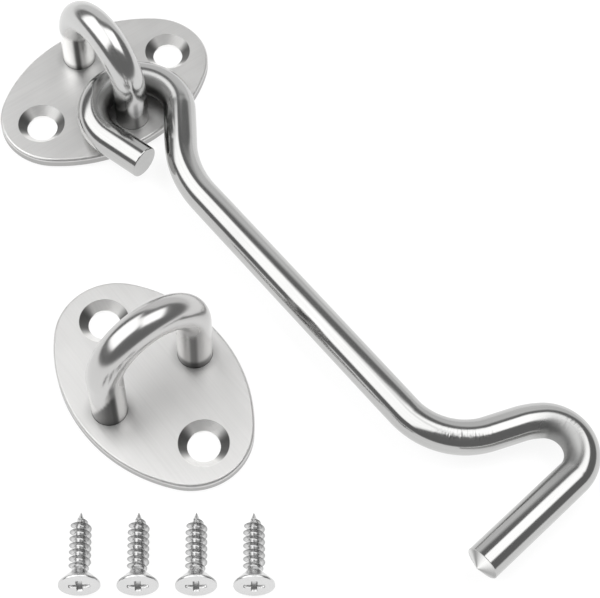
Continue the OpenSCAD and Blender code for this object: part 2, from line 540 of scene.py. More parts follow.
def grid_piece(
    name: str,
    rows: np.ndarray,
    uv: np.ndarray | None = None,
    values: dict | None = None,
    crease: float = 35.0,
) -> bpy.types.Object:
    """Makes a closed piece from rings of points, with a pole at each end.

    Each ring joins the next with quads, the last point of a ring joins its first, and the first
    and last rings close on their own centres.

    Args:
        name: The piece's name.
        rows: Rings of points in metres, of shape (rings, points, 3).
        uv: Coordinates of shape (rings, points + 1, 2), or None for a piece without a map.
        values: Named values of shape (rings, points), kept on the piece's points.
        crease: Angle in degrees past which an edge is sharp.

    Returns:
        The new object, smooth except at its sharp edges.
    """
    count, around, _ = rows.shape
    points = np.concatenate([rows.reshape(-1, 3), rows[:1].mean(1), rows[-1:].mean(1)])
    ring = np.arange(count * around).reshape(count, around)
    after = np.roll(ring, -1, axis=1)
    quads = np.stack([ring[:-1], after[:-1], after[1:], ring[1:]], axis=-1).reshape(-1, 4)
    first, last = count * around, count * around + 1
    start = np.stack([np.full(around, first), after[0], ring[0]], axis=-1)
    end = np.stack([np.full(around, last), ring[-1], after[-1]], axis=-1)
    if signed_volume(points, quads) < 0:
        quads, start, end = quads[:, ::-1], start[:, ::-1], end[:, ::-1]
    mesh = bpy.data.meshes.new(name)
    mesh.from_pydata(points.tolist(), [], quads.tolist() + start.tolist() + end.tolist())
    mesh.polygons.foreach_set("use_smooth", np.ones(len(mesh.polygons), bool))
    mesh.set_sharp_from_angle(angle=math.radians(crease))
    if uv is not None:
        put_uv(mesh, uv, count, around)
    for label, value in (values or {}).items():
        layer = mesh.attributes.new(label, "FLOAT", "POINT")
        spread = np.concatenate([value.ravel(), value[0, :1], value[-1, :1]])
        layer.data.foreach_set("value", spread.astype(np.float32))
    mesh.update()
    piece = bpy.data.objects.new(name, mesh)
    bpy.context.scene.collection.objects.link(piece)
    return piece


def signed_volume(points: np.ndarray, quads: np.ndarray) -> float:
    """Sums six times the volumes of the tetrahedra from the middle to each quad's two triangles.

    Args:
        points: Points of shape (n, 3).
        quads: Corner numbers of shape (m, 4).

    Returns:
        A sum that is positive where the quads face outwards.
    """
    centre = points.mean(0)
    a, b, c, d = (points[quads[:, k]] - centre for k in range(4))
    halves = np.einsum("ij,ij->i", a, np.cross(b, c)) + np.einsum("ij,ij->i", a, np.cross(c, d))
    return float(halves.sum())


def put_uv(mesh: bpy.types.Mesh, uv: np.ndarray, count: int, around: int) -> None:
    """Lays a map over a ringed piece, with the seam's far side kept apart from its near side.

    Args:
        mesh: The piece's mesh.
        uv: Coordinates of shape (rings, points + 1, 2).
        count: Number of rings.
        around: Number of points in a ring.
    """
    corners = np.empty(len(mesh.loops), np.int64)
    mesh.loops.foreach_get("vertex_index", corners)
    starts = np.empty(len(mesh.polygons), np.int64)
    totals = np.empty(len(mesh.polygons), np.int64)
    mesh.polygons.foreach_get("loop_start", starts)
    mesh.polygons.foreach_get("loop_total", totals)
    face = np.repeat(np.arange(len(starts)), totals)
    pole = corners >= count * around
    ring = np.where(pole, np.where(corners == count * around, 0, count - 1), corners // around)
    place = np.where(pole, 0, corners % around)
    high = np.zeros(len(starts), bool)
    np.logical_or.at(high, face, (place == around - 1) & ~pole)
    place = np.where((place == 0) & high[face] & ~pole, around, place)
    layer = mesh.uv_layers.new(name="rod")
    layer.data.foreach_set("uv", uv[ring, place].astype(np.float32).ravel())


@dataclass(frozen=True)
class Bend:
    """One step of a bent rod: a straight and then a bend, in mm and degrees, left positive."""

    length: float
    turn: float = 0.0
    radius: float = 0.0


def run_of(steps: list[Bend], start: tuple[float, float], heading: float) -> np.ndarray:
    """Follows straight lengths and bends in a plane.

    A straight goes on along the heading, with a station about every mm. A bend turns about a
    centre at its radius to the left or right of the heading.

    Args:
        steps: The straights and bends, in order.
        start: Where the run starts, in mm.
        heading: Direction of the start in radians, 0 along +Y and positive to the left.

    Returns:
        Stations of shape (n, 4): x and y in mm, the heading, and the curvature, left positive.
    """
    place, pieces = np.array(start, float), []
    for step in steps:
        ahead = np.array([-math.sin(heading), math.cos(heading)])
        way = np.linspace(0, step.length, max(2, int(step.length) + 1))
        line = place + way[:, None] * ahead
        pieces.append(np.column_stack([line, np.full(len(way), heading), np.zeros(len(way))]))
        place = line[-1]
        if step.turn:
            side = math.copysign(step.radius, step.turn)
            count = int(abs(step.turn) / BEND_STEP) + 2
            turned = heading + np.radians(np.linspace(0, step.turn, count))
            hub = place - side * np.array([math.cos(heading), math.sin(heading)])
            arc = hub + side * np.column_stack([np.cos(turned), np.sin(turned)])
            pieces.append(np.column_stack([arc, turned, np.full(len(turned), 1 / side)]))
            place, heading = arc[-1], float(turned[-1])
    stations = np.concatenate(pieces)
    step_size = np.linalg.norm(np.diff(stations[:, :2], axis=0), axis=1)
    return stations[np.concatenate([[True], step_size > SAME_PLACE])]


@dataclass(frozen=True)
class DieMark:
    """A rubbed patch that the bending die leaves: which bend, where on it, and its size.

    The bend is named by its radius, and share is the place along it. Angles round the rod are in
    degrees. Weight is how deeply it is rubbed, up to 1.
    """

    bend_r: float
    share: float
    half_l: float
    angle: float
    half_angle: float
    weight: float


@dataclass(frozen=True)
class ReflectionSector:
    """A painted reflection on a ground face, a light or dark sector: its angle, half width and change
    of tone.
    """

    angle: float
    half_angle: float
    change: float

    def bell(self, angles: np.ndarray) -> np.ndarray:
        """Change of tone by angle: a bell about the sector's middle."""
        return self.change * np.exp(-((turned_from(angles, self.angle) / self.half_angle) ** 2))


class Leg(Enum):
    """The two legs of a staple, by the side of its middle that they stand on."""

    NEAR = -1
    FAR = 1


@dataclass(frozen=True)
class LegLightPatch:
    """A painted reflection or painted shade on a staple's leg, light or dark: where round it, up to
    what height, and its tone.

    Angles are in degrees and heights in mm. Lean is how far one edge of the patch draws in
    towards the other, in degrees per mm of height. The patch fades over its edge, and at its top
    over a fixed height and a share of its own.
    """

    leg: Leg
    angle: float
    half_angle: float
    height: float
    tone: float
    lean: float = 0.0
    edge: float = 12.0
    fade: float = 0.4
    fade_share: float = 0.12

    def over(
        self, tone: np.ndarray, angles: np.ndarray, height: np.ndarray, side: np.ndarray
    ) -> np.ndarray:
        """Lays the patch over a tone, faded at its edges.

        Args:
            tone: Tone so far, of shape (rings, points).
            angles: Angle of each point round the rod.
            height: Height of each point above the plate, in mm.
            side: Side of the staple's middle that each point is on.

        Returns:
            The new tone.
        """
        drawn = self.lean / 2 * np.maximum(height, 0)
        off = turned_from(angles[None] + np.radians(drawn), self.angle)
        share = ramp((self.half_angle - drawn - off) / self.edge)
        top = ramp((self.height - height) / (self.fade + self.fade_share * self.height))
        share = share * top * (side * self.leg.value > 0)
        return tone * (1 + (self.tone - 1) * share)


def turned_from(angles: np.ndarray, middle: float) -> np.ndarray:
    """Angle in degrees between each angle, in radians, and a middle, in degrees."""
    return np.abs(np.degrees(np.angle(np.exp(1j * (angles - math.radians(middle))))))


def ramp(value: np.ndarray) -> np.ndarray:
    """Smooth step from 0 at -0.5 to 1 at 0.5."""
    share = np.clip(value + 0.5, 0, 1)
    return share * share * (3 - 2 * share)


@dataclass
class RodSweep:
    """A circle carried along a plane path, thinner in the bends, with a cap at each end. In mm.

    A point is centre + r (cos a * side + sin a * up), with side to the right of the heading. Cap
    values are pairs of radius and distance along the heading, from the cap's middle outwards.
    A bend starts to dull where rod radius over bend radius passes dull_from, and is fully dull
    a dull_span later.
    """

    path: np.ndarray
    rod_r: float
    bend_thin: float
    first_cap: np.ndarray
    last_cap: np.ndarray
    around: int = 112
    dull_from: float = 0.2
    dull_span: float = 0.3
    dull_reach: int = 9
    inner_gain: float = 0.9
    inner_from: float = 0.2

    def __post_init__(self) -> None:
        """Works out the rings' stations, radii, shifts and places along the rod."""
        first = np.repeat(self.path[:1], len(self.first_cap), 0)
        last = np.repeat(self.path[-1:], len(self.last_cap), 0)
        bent = (np.abs(self.path[:, 3]) > 0).astype(float)
        body = (self.rod_r - self.bend_thin / 2 * self.smoothed(bent))[1:-1]
        head, tail = self.first_cap, self.last_cap[::-1]
        self.stations = np.concatenate([first, self.path[1:-1], last])
        self.radii = np.concatenate([head[:, 0], body, tail[:, 0]])
        self.shift = np.concatenate([head[:, 1], np.zeros(len(body)), tail[:, 1]])
        self.angles = np.linspace(0, 2 * np.pi, self.around + 1)
        run = np.linalg.norm(np.diff(self.stations[:, :2], axis=0), axis=1)
        self.along = np.concatenate([[0], np.cumsum(run + np.abs(np.diff(self.shift)))])

    @staticmethod
    def smoothed(values: np.ndarray, reach: int = 4) -> np.ndarray:
        """Averages each value with its neighbours on both sides, as many as reach says."""
        width = 2 * reach + 1
        return np.convolve(np.pad(values, reach, mode="edge"), np.full(width, 1 / width), "valid")

    def rows(self) -> np.ndarray:
        """Works out the rings in the path's plane, with up along Z.

        Returns:
            Points of shape (rings, around, 3).
        """
        x, y, heading = self.stations[:, 0], self.stations[:, 1], self.stations[:, 2]
        flat = np.zeros(len(x))
        ahead = np.column_stack([-np.sin(heading), np.cos(heading), flat])
        side = np.column_stack([np.cos(heading), np.sin(heading), flat])
        centre = np.column_stack([x, y, flat]) + self.shift[:, None] * ahead
        angle = self.angles[None, :-1, None]
        ring = np.cos(angle) * side[:, None] + np.sin(angle) * np.array([0.0, 0.0, 1.0])
        return centre[:, None] + self.radii[:, None, None] * ring

    def uv(self) -> np.ndarray:
        """Maps length along the rod and length round it, of shape (rings, around + 1, 2)."""
        both = np.broadcast_arrays(self.along[:, None], self.angles[None] * self.rod_r)
        return np.stack(both, axis=-1)

    def dull(self) -> np.ndarray:
        """Works out the polish lost: how tight a bend is for the rod, times its inner side.

        The inner side is a smooth step of the cosine of the angle from it.

        Returns:
            Share lost, of shape (rings, around).
        """
        bend = self.stations[:, 3]
        tight = np.clip((np.abs(bend) * self.rod_r - self.dull_from) / self.dull_span, 0, 1)
        hollow = self.smoothed(np.sign(bend) * tight, self.dull_reach)[:, None]
        inner = -np.sign(hollow) * np.cos(self.angles[None, :-1])
        return np.abs(hollow) * ramp(inner * self.inner_gain - self.inner_from)

    def scuff(self, marks: tuple[DieMark, ...] = ()) -> np.ndarray:
        """Sums the die marks, each a bell in length times a bell in angle.

        Args:
            marks: The marks.

        Returns:
            How deeply each point is rubbed, of shape (rings, around).
        """
        total = np.zeros((len(self.along), self.around))
        for mark in marks:
            bend = self.along[np.isclose(np.abs(self.stations[:, 3]), 1 / mark.bend_r)]
            middle = bend.min() + mark.share * np.ptp(bend)
            off = turned_from(self.angles[:-1], mark.angle)
            length = np.exp(-(((self.along - middle) / mark.half_l) ** 2))
            total += mark.weight * length[:, None] * np.exp(-((off / mark.half_angle) ** 2))[None]
        return np.clip(total, 0, 1)


@dataclass
class Hook:
    """The bent rod: a cut end, an eye, a neck, a shank, an elbow, a crook and a tip. In mm.

    The bends are a little thinner than the solid's, so that the rod stays inside the solid's box.
    """

    rod_d: float = 6.0
    bend_thin: float = 0.1
    leg_y: float = -8.75
    height: float = 5.05
    eye_play: float = 1.9
    hook_gap: float = 0.25
    eye_turn: float = 229.6
    tail_l: float = 8.4
    neck_turn: float = 35.6
    neck_r: float = 20.0
    shank_offset: float = 1.77
    shank_l: float = 76.3
    elbow_turn: float = 70.1
    elbow_r: float = 12.5
    bends: tuple[Bend, ...] = (Bend(5.4, -14.6, 13.0), Bend(0.4, -141.9, 5.8))
    tip_l: float = 21.5
    cone_h: float = 1.2
    flat_d: float = 0.4
    lie: float = 1.2
    edge: float = 0.18
    cut_rings: tuple[float, ...] = (0.05, 0.35, 0.7, 0.9, 1.0)
    cut_break: float = 0.3
    tip_break: float = 0.25
    tip_foot: float = 0.6
    tip_rings: int = 9
    tip_dull: float = 0.45
    bend_shade: float = 0.4
    crease: float = 20.0
    marks: tuple[DieMark, ...] = (
        DieMark(bend_r=12.5, share=0.72, half_l=3.6, angle=70, half_angle=18, weight=0.9),
        DieMark(bend_r=5.8, share=0.32, half_l=2.6, angle=70, half_angle=24, weight=0.35),
    )
    sectors: tuple[ReflectionSector, ...] = (
        ReflectionSector(angle=100, half_angle=28, change=0.9),
        ReflectionSector(angle=45, half_angle=16, change=-0.45),
        ReflectionSector(angle=5, half_angle=22, change=0.35),
        ReflectionSector(angle=175, half_angle=28, change=-0.3),
    )

    def path(self) -> np.ndarray:
        """Lays out the rod's axis from the eye's cut end to the tip, about the eye's centre.

        Returns:
            Stations of shape (n, 4), as run_of gives them.
        """
        eye_r = self.rod_d + self.eye_play
        lean = math.radians(self.neck_turn)
        run = (eye_r * math.cos(lean) + self.shank_offset) / math.sin(lean)
        tangent = self.neck_r * math.tan(lean / 2)
        top = -eye_r * math.sin(lean) - run * math.cos(lean) - tangent
        start = (-self.shank_offset, top)
        neck = Bend(0, -self.neck_turn, self.neck_r)
        loop = Bend(run - tangent, self.eye_turn, eye_r)
        eye = run_of([neck, loop, Bend(self.tail_l)], start, 0.0)
        shank = Bend(self.shank_l + top, self.elbow_turn, self.elbow_r)
        crook = run_of([shank, *self.bends, Bend(self.tip_l)], start, math.pi)
        back = eye[::-1] * np.array([1, 1, 1, -1]) + np.array([0, 0, math.pi, 0])
        return np.concatenate([back[:-1], crook])

    def cut_end(self) -> np.ndarray:
        """Profiles the sawn end: a flat face with a broken edge.

        Returns:
            Pairs of radius and shift, from the middle outwards.
        """
        r, edge, broken = self.rod_d / 2, self.edge, self.cut_break * self.edge
        face = np.array(self.cut_rings) * (r - edge)
        flat = np.column_stack([face, np.zeros(len(face))])
        return np.concatenate([flat, [(r - broken, broken), (r, edge)]])

    def ground_tip(self) -> np.ndarray:
        """Profiles the tip: a shallow cone with a broken edge and a small flat.

        Returns:
            Pairs of radius and shift, from the middle outwards.
        """
        r, broken = self.rod_d / 2, self.tip_break * self.edge
        foot_r, foot_s = r - self.edge, self.tip_foot * self.edge
        share = np.linspace(0, 1, self.tip_rings)
        width = foot_r + (self.flat_d / 2 - foot_r) * share
        shift = foot_s + (self.cone_h - foot_s) * share
        rim = [(r, 0.0), (r - broken, broken)]
        return np.concatenate([rim, np.column_stack([width, shift])])[::-1]

    def values(self, sweep: RodSweep) -> dict[str, np.ndarray]:
        """Works out the marks on the rod: dull bends, die marks, and the painted reflection of light
        and dark sectors on the ground tip.

        Args:
            sweep: The rod.

        Returns:
            Values of shape (rings, points) by name. Tone multiplies the rod's colour.
        """
        dull = sweep.dull()
        tone = 1 - self.bend_shade * dull
        # painted reflection: light and dark sectors round the ground tip
        painted_fan = sum(sector.bell(sweep.angles[:-1]) for sector in self.sectors)
        tone[-self.tip_rings :] = 1 + painted_fan
        dull[-self.tip_rings :] = self.tip_dull
        return {"dull": dull, "scuff": sweep.scuff(self.marks), "tone": tone}

    def build(self) -> bpy.types.Object:
        """Sweeps the rod and lays it at its resting angle in the staple.

        Returns:
            The rod.
        """
        caps = (self.cut_end(), self.ground_tip())
        sweep = RodSweep(self.path(), self.rod_d / 2, self.bend_thin, *caps)
        turn = np.array(Matrix.Rotation(math.radians(self.lie), 3, "Z"))
        rows = sweep.rows() + [0, self.hook_gap - self.eye_play, 0]
        rows = rows @ turn.T + [0, self.leg_y, self.height]
        return grid_piece("hook_rod", rows * MM, sweep.uv() * MM, self.values(sweep), self.crease)

    def dress(self, piece: bpy.types.Object) -> None:
        """Gives the rod its polish and hangs it on the hook's body.

        Args:
            piece: The rod.
        """
        piece.data.materials.append(HOOK_ROD.material())
        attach(piece, "hook")
        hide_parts("hook")


# Painted reflections and shade on the pivot staple: a lighter far leg with a dark stripe, a darker
# lower near leg with a dark stripe, and a thin dark line at the far foot.
PIVOT_LEG_LIGHT = (
    LegLightPatch(Leg.FAR, angle=0, half_angle=200, height=8.5, tone=1.62),
    LegLightPatch(Leg.FAR, angle=213, half_angle=10, height=8.5, tone=0.18),
    LegLightPatch(Leg.FAR, angle=0, half_angle=200, height=0.4, tone=0.3),
    LegLightPatch(Leg.NEAR, angle=0, half_angle=200, height=5.5, tone=0.65),
    LegLightPatch(Leg.NEAR, angle=344, half_angle=8, height=7.0, tone=0.5),
)
# Painted reflections and shade on the keeper staple: dark patches low on both legs, dark stripes up
# both legs, and a thin dark line at each foot.
KEEPER_LEG_LIGHT = (
    LegLightPatch(Leg.FAR, angle=228, half_angle=75, height=2.0, tone=0.25),
    LegLightPatch(Leg.FAR, angle=232, half_angle=12, height=11.0, tone=0.4),
    LegLightPatch(Leg.NEAR, angle=328, half_angle=54, height=10.0, tone=0.2, lean=10),
    LegLightPatch(Leg.NEAR, angle=281, half_angle=9, height=13.0, tone=0.4),
    LegLightPatch(Leg.FAR, angle=0, half_angle=200, height=0.4, tone=0.4),
    LegLightPatch(Leg.NEAR, angle=0, half_angle=200, height=0.4, tone=0.4),
)


@dataclass
class Staple:
    """A U of round rod on its plate, worked out from the box of its CAD node. In mm."""

    node: str
    body: str
    finish: RodFinish
    marks: tuple[LegLightPatch, ...]
    rod_d: float = 6.0
    bend_thin: float = 0.08
    weld_w: float = 0.7
    plate_t: float = 1.8
    pole_r: float = 0.1
    bend_shade: float = 0.25

    def foot(self) -> np.ndarray:
        """Profiles a leg's end: flat across, with the ground weld as a cone round it.

        Returns:
            Pairs of radius and shift, from the middle outwards.
        """
        r, weld = self.rod_d / 2, self.weld_w
        return np.array([(self.pole_r, 0), (r / 2, 0), (r, 0), (r + weld, 0), (r, weld)])

    def values(self, sweep: RodSweep, rows: np.ndarray) -> dict[str, np.ndarray]:
        """Works out the marks on the rod: dull bends, and the painted reflections and painted shade
        on its legs.

        Args:
            sweep: The rod.
            rows: Its rings in their own plane.

        Returns:
            Values of shape (rings, points) by name. Tone multiplies the rod's colour.
        """
        dull = sweep.dull()
        tone = 1 - self.bend_shade * dull
        for mark in self.marks:
            tone = mark.over(tone, sweep.angles[:-1], rows[..., 1] - self.plate_t, rows[..., 0])
        return {"dull": dull, "scuff": sweep.scuff(), "tone": tone}

    def build(self) -> bpy.types.Object:
        """Sweeps the rod up one leg, over the crown and down the other, in its upright plane.

        Returns:
            The rod.
        """
        low, high = (np.array(corner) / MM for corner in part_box(self.node))
        span = (high - low)[:2]
        across = int(np.argmax(span))
        pitch = span[across] - self.rod_d - 2 * self.weld_w
        leg_h = high[2] - pitch / 2 - (self.rod_d - self.bend_thin) / 2
        path = run_of([Bend(leg_h, 180.0, pitch / 2), Bend(leg_h)], (pitch / 2, 0.0), 0.0)
        foot = self.foot()
        sweep = RodSweep(path, self.rod_d / 2, self.bend_thin, foot, foot * [1, -1])
        rows = sweep.rows()
        upright = np.empty_like(rows)
        upright[..., across] = rows[..., 0]
        upright[..., 1 - across] = rows[..., 2]
        upright[..., 2] = rows[..., 1]
        upright[..., :2] += (low + high)[:2] / 2
        values = self.values(sweep, rows)
        return grid_piece(f"{self.node}_rod", upright * MM, sweep.uv() * MM, values)

    def dress(self, piece: bpy.types.Object) -> None:
        """Gives the rod its polish and sets it on its plate's body.

        Args:
            piece: The rod.
        """
        piece.data.materials.append(self.finish.material())
        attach(piece, self.body)
        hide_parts(self.node)


@dataclass
class WoodScrew:
    """A countersunk wood screw with a sharp thread and a cross recess, on its CAD node. In mm.

    The rim's two edges are pairs of inset and height, from the face and from the rim's foot.
    """

    node: str
    length: float = 13.0
    head_d: float = 6.5
    head_rim: float = 0.4
    upper_edge: tuple[tuple[float, float], ...] = ((0.04, 0.03), (0.0, 0.1))
    lower_edge: tuple[tuple[float, float], ...] = ((0.0, -0.05), (0.03, 0.02))
    face_edge: float = 0.12
    face_rings: int = 30
    outer_rings: tuple[float, ...] = (2.4, 2.8)
    pole_r: float = 0.05
    neck_d: float = 2.6
    neck_l: float = 1.4
    neck_step: float = 0.05
    cone_h: float = 1.95
    cone_rings: int = 10
    cone_from: float = 0.03
    thread_d: float = 3.5
    core_d: float = 2.1
    pitch: float = 1.18
    thread_from: float = 2.6
    thread_to: float = 11.8
    thread_in: float = 0.8
    thread_out: float = 1.0
    fin_share: float = 0.15
    crest_shade: float = 0.55
    crest_reach: float = 0.2
    crest_power: float = 0.5
    point_l: float = 3.0
    point_share: float = 0.02
    point_power: float = 0.8
    recess_d: float = 3.3
    recess_w: float = 0.7
    recess_depth: float = 1.1
    recess_margin: float = 0.1
    wall_out: float = 0.14
    wall_w: float = 0.16
    row_gap: float = 0.029
    around: int = 144

    def axis(self) -> tuple[np.ndarray, np.ndarray]:
        """Finds the screw's axis from the widest flat of its node, which is the head's face.

        Returns:
            The centre of the head's face and the direction of the point, in mm and as a unit.
        """
        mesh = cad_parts[self.node].data
        count = len(mesh.polygons)
        normals, centres, areas = np.empty(count * 3), np.empty(count * 3), np.empty(count)
        mesh.polygons.foreach_get("normal", normals)
        mesh.polygons.foreach_get("center", centres)
        mesh.polygons.foreach_get("area", areas)
        _, which = np.unique(normals.reshape(-1, 3).round(3), axis=0, return_inverse=True)
        widest = which.ravel() == np.argmax(np.bincount(which.ravel(), areas))
        share = areas[widest, None] / areas[widest].sum()
        head = (centres.reshape(-1, 3)[widest] * share).sum(0) / MM
        way = -(normals.reshape(-1, 3)[widest] * share).sum(0)
        return head, way / np.linalg.norm(way)

    def recess(self, r: np.ndarray, angle: np.ndarray) -> np.ndarray:
        """Depth of the cross recess: a smooth cross of two arms that shallows towards its ends.

        Args:
            r: Distance from the axis.
            angle: Angle about the axis.

        Returns:
            Depth below the head's face.
        """
        x, y = np.abs(r * np.cos(angle)), np.abs(r * np.sin(angle))
        arm, reach = np.minimum(x, y), np.maximum(x, y)
        half_d, half_w = self.recess_d / 2, self.recess_w / 2
        wall = np.clip((half_w + self.wall_out - arm) / self.wall_w, 0, 1)
        ends = np.clip((half_d - reach) / (half_d - half_w), 0, 1)
        return self.recess_depth * wall * np.sqrt(ends)

    def fin(self, z: np.ndarray, angle: np.ndarray) -> np.ndarray:
        """Share of the thread's height: a narrow tent in the phase z / pitch - angle / turn."""
        phase = np.mod(z / self.pitch - angle / (2 * np.pi), 1.0)
        return np.clip(1 - np.abs(phase - 0.5) / self.fin_share, 0, 1)

    def radius(self, z: np.ndarray, angle: np.ndarray) -> np.ndarray:
        """Radius of the shank: a slim core that tapers to the point, with a sharp helical fin.

        The fin is faded in at the neck and scaled down along the point.

        Args:
            z: Distance from the head's face.
            angle: Angle about the axis.

        Returns:
            Radius at each place.
        """
        core_left = (self.length - z) / self.point_l
        taper = np.clip(core_left, self.point_share, 1) ** self.point_power
        neck = np.clip((z - self.cone_h - self.head_rim) / self.neck_l, 0, 1)
        core = (self.neck_d + (self.core_d - self.neck_d) * neck) / 2 * taper
        begun = np.clip((z - self.thread_from) / self.thread_in, 0, 1)
        fade = begun * np.clip((self.thread_to - z) / self.thread_out, 0, 1)
        crest_left = (self.length + self.crest_reach - z) / self.point_l
        crest = self.thread_d / 2 * np.clip(crest_left, 0, 1) ** self.crest_power
        return core + np.maximum(crest - core, 0) * self.fin(z, angle) * fade

    def face(self) -> np.ndarray:
        """Spaces the rings of the head's face: close over the recess, and few outside it.

        Returns:
            Radii of shape (rings, 1).
        """
        reach = self.recess_d / 2 + self.recess_margin
        inner = np.linspace(self.pole_r, reach, self.face_rings)
        return np.array([*inner, *self.outer_rings, self.head_d / 2 - self.face_edge])[:, None]

    def head_side(self) -> tuple[np.ndarray, np.ndarray]:
        """Profiles the head's side: a rim with two broken edges, and a cone down to the neck.

        Returns:
            Radii and distances from the head's face, each of shape (rings, 1).
        """
        top, upper, lower = self.head_d / 2, np.array(self.upper_edge), np.array(self.lower_edge)
        share = np.linspace(self.cone_from, 1, self.cone_rings)
        cone_r = top + (self.neck_d / 2 - top) * share
        cone_z = self.head_rim + self.cone_h * share
        r = np.concatenate([top - upper[:, 0], top - lower[:, 0], cone_r])
        z = np.concatenate([upper[:, 1], self.head_rim + lower[:, 1], cone_z])
        return r[:, None], z[:, None]

    def laid(self, r: np.ndarray, z: np.ndarray, angle: np.ndarray) -> np.ndarray:
        """Lays rings on the screw's axis: head + z * way + r (cos a * side + sin a * up).

        Args:
            r: Distance from the axis.
            z: Distance from the head's face.
            angle: Angle about the axis.

        Returns:
            Points of shape (rings, around, 3), in mm.
        """
        head, way = self.axis()
        side = np.cross(way, [0, 0, 1])
        side /= np.linalg.norm(side)
        up = np.cross(side, way)
        ring = np.cos(angle)[..., None] * side + np.sin(angle)[..., None] * up
        return head + z[..., None] * way + r[..., None] * ring

    def build(self) -> bpy.types.Object:
        """Joins the head's face, its rim and cone, and the threaded shank into one surface.

        Returns:
            The screw.
        """
        angle = np.linspace(0, 2 * np.pi, self.around, endpoint=False)[None]
        wide = np.ones_like(angle)
        face_r = self.face() * wide
        side_r, side_z = self.head_side()
        neck_z = self.head_rim + self.cone_h + self.neck_step
        rings = int((self.length - neck_z) / self.row_gap)
        shank_z = np.linspace(neck_z, self.length, rings)[:, None]
        r = np.concatenate([face_r, side_r * wide, self.radius(shank_z, angle)])
        z = np.concatenate([self.recess(face_r, angle), side_z * wide, shank_z * wide])
        tone = np.ones_like(r)
        # painted shade towards each thread's crest
        tone[-rings:] = 1 - self.crest_shade * self.fin(shank_z, angle) ** 2
        points = self.laid(r, z, angle)
        return grid_piece(f"{self.node}_body", points * MM, None, {"tone": tone})

    def dress(self, piece: bpy.types.Object) -> None:
        """Gives the screw its bright finish and lays it on its own body.

        Args:
            piece: The screw.
        """
        piece.data.materials.append(BRIGHT_SCREW.material())
        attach(piece, self.node)
        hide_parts(self.node)


@dataclass
class Plate:
    """An oval plate: its CAD node with a satin finish. The angle of the painted reflection in its
    countersinks is in degrees.
    """

    node: str
    sheen_angle: float

    def dress(self) -> None:
        """Gives the plate's node its satin finish, about its own centre and along its length."""
        low, high = (np.array(corner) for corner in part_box(self.node))
        middle = tuple(((low + high) / 2).tolist())
        turn = math.pi / 2 if (high - low)[1] > (high - low)[0] else 0.0
        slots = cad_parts[self.node].data.materials
        slots.clear()
        slots.append(SATIN_PLATE.material(middle, turn, math.radians(self.sheen_angle)))


def direction(azimuth: np.ndarray | float, elevation: np.ndarray | float) -> np.ndarray:
    """Unit direction from two angles.

    It is (sin azimuth cos elevation, cos azimuth cos elevation, sin elevation).

    Args:
        azimuth: Angle to the right of straight ahead, in degrees.
        elevation: Angle above the table, in degrees.

    Returns:
        Right, ahead and up, on the last axis.
    """
    turn, rise = np.radians(azimuth), np.radians(elevation)
    flat = np.cos(rise)
    return np.stack([np.sin(turn) * flat, np.cos(turn) * flat, np.sin(rise) + 0 * turn], axis=-1)


@dataclass(frozen=True)
class SoftBox:
    """A flat lit panel that faces the object, by its direction and its size over its distance.

    Directions that make a smaller cosine than the least with the box's own are off the box.
    """

    azimuth: float
    elevation: float
    half_w: float
    half_h: float
    roll: float
    level: float
    blur: float
    least: float = 0.05

    def over(self, glow: np.ndarray, way: np.ndarray) -> np.ndarray:
        """Lays the box over a glow: each direction is carried to the box's plane and tested there.

        Args:
            glow: Glow so far, one value for each direction.
            way: Unit directions.

        Returns:
            Glow with the box on it, faded over its blur.
        """
        middle = direction(self.azimuth, self.elevation)
        turn, roll = math.radians(self.azimuth), math.radians(self.roll)
        right = np.array([math.cos(turn), -math.sin(turn), 0.0])
        up = np.cross(right, middle)
        across = math.cos(roll) * right + math.sin(roll) * up
        upward = math.cos(roll) * up - math.sin(roll) * right
        ahead = way @ middle
        depth = np.maximum(ahead, self.least)
        beside = self.half_w - np.abs(way @ across) / depth
        above = self.half_h - np.abs(way @ upward) / depth
        share = np.where(ahead > self.least, ramp(np.minimum(beside, above) / self.blur), 0)
        return glow + (self.level - glow) * share


@dataclass(frozen=True)
class Lamp:
    """A soft lamp over the table, by its direction from the object.

    Azimuth is from straight ahead of the camera, and both angles are in degrees. Power is in
    watts, and size and distance are in metres.
    """

    name: str
    azimuth: float
    elevation: float
    power: float = 6.0
    size: float = 0.6
    distance: float = 0.9

    def hang(self, camera_azimuth: float, middle: tuple[float, float, float]) -> None:
        """Hangs the lamp so that it lights the object, unseen by the camera and in reflections.

        Args:
            camera_azimuth: Azimuth of straight ahead, in degrees.
            middle: The object's middle, in metres.
        """
        data = bpy.data.lights.new(self.name, "AREA")
        data.energy, data.size = self.power, self.size
        lamp = bpy.data.objects.new(self.name, data)
        way = Vector(direction(self.azimuth + camera_azimuth, self.elevation).tolist())
        lamp.location = way * self.distance + Vector(middle)
        lamp.rotation_euler = (-way).to_track_quat("-Z", "Y").to_euler()
        lamp.visible_glossy = False
        lamp.visible_camera = False
        bpy.context.scene.collection.objects.link(lamp)


